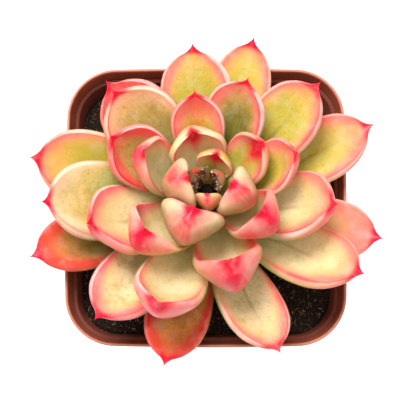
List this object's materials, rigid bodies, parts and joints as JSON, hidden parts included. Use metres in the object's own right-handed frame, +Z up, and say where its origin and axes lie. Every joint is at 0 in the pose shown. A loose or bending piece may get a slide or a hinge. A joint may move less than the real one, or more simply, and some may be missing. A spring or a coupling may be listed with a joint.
{
  "type": "potted rosette succulent",
  "caption": "Thick-leaved rosette succulent growing in a square moulded pot with rounded corners and a dark soil bed.",
  "frame": {"origin": "the middle of the pot's flat underside, on the pot's own axis", "axes": "+Z up out of the pot, +Y towards the side that the rosette leans to, +X to the right with the lean side at the back"},
  "size_m": [0.1112, 0.1058, 0.1203],
  "materials": {
    "pot_clay_plastic": "satin terracotta-coloured moulded plastic",
    "potting_soil": "matte, crumbly",
    "stem_bark": "matte",
    "outer_leaf_skin": "satin, waxy",
    "middle_leaf_skin": "satin, waxy",
    "inner_leaf_skin": "satin, waxy",
    "bud_leaf_skin": "satin, waxy"
  },
  "bodies": {
    "root": {"pot": "pot_clay_plastic", "soil": "potting_soil", "stem": "stem_bark", "outer_leaf_01": "outer_leaf_skin", "outer_leaf_02": "outer_leaf_skin", "outer_leaf_03": "outer_leaf_skin", "outer_leaf_04": "outer_leaf_skin", "outer_leaf_05": "outer_leaf_skin", "outer_leaf_06": "outer_leaf_skin", "outer_leaf_07": "outer_leaf_skin", "outer_leaf_08": "outer_leaf_skin", "outer_leaf_09": "outer_leaf_skin", "outer_leaf_10": "outer_leaf_skin", "outer_leaf_11": "outer_leaf_skin", "middle_leaf_01": "middle_leaf_skin", "middle_leaf_02": "middle_leaf_skin", "middle_leaf_03": "middle_leaf_skin", "middle_leaf_04": "middle_leaf_skin", "middle_leaf_05": "middle_leaf_skin", "middle_leaf_06": "middle_leaf_skin", "middle_leaf_07": "middle_leaf_skin", "middle_leaf_08": "middle_leaf_skin", "middle_leaf_09": "middle_leaf_skin", "middle_leaf_10": "middle_leaf_skin", "middle_leaf_11": "middle_leaf_skin", "middle_leaf_12": "middle_leaf_skin", "middle_leaf_13": "middle_leaf_skin", "middle_leaf_14": "middle_leaf_skin", "middle_leaf_15": "middle_leaf_skin", "inner_leaf_01": "inner_leaf_skin", "inner_leaf_02": "inner_leaf_skin", "inner_leaf_03": "inner_leaf_skin", "inner_leaf_04": "inner_leaf_skin", "inner_leaf_05": "inner_leaf_skin", "inner_leaf_06": "inner_leaf_skin", "bud_leaf_01": "bud_leaf_skin", "bud_leaf_02": "bud_leaf_skin"}
  },
  "joints": []
}
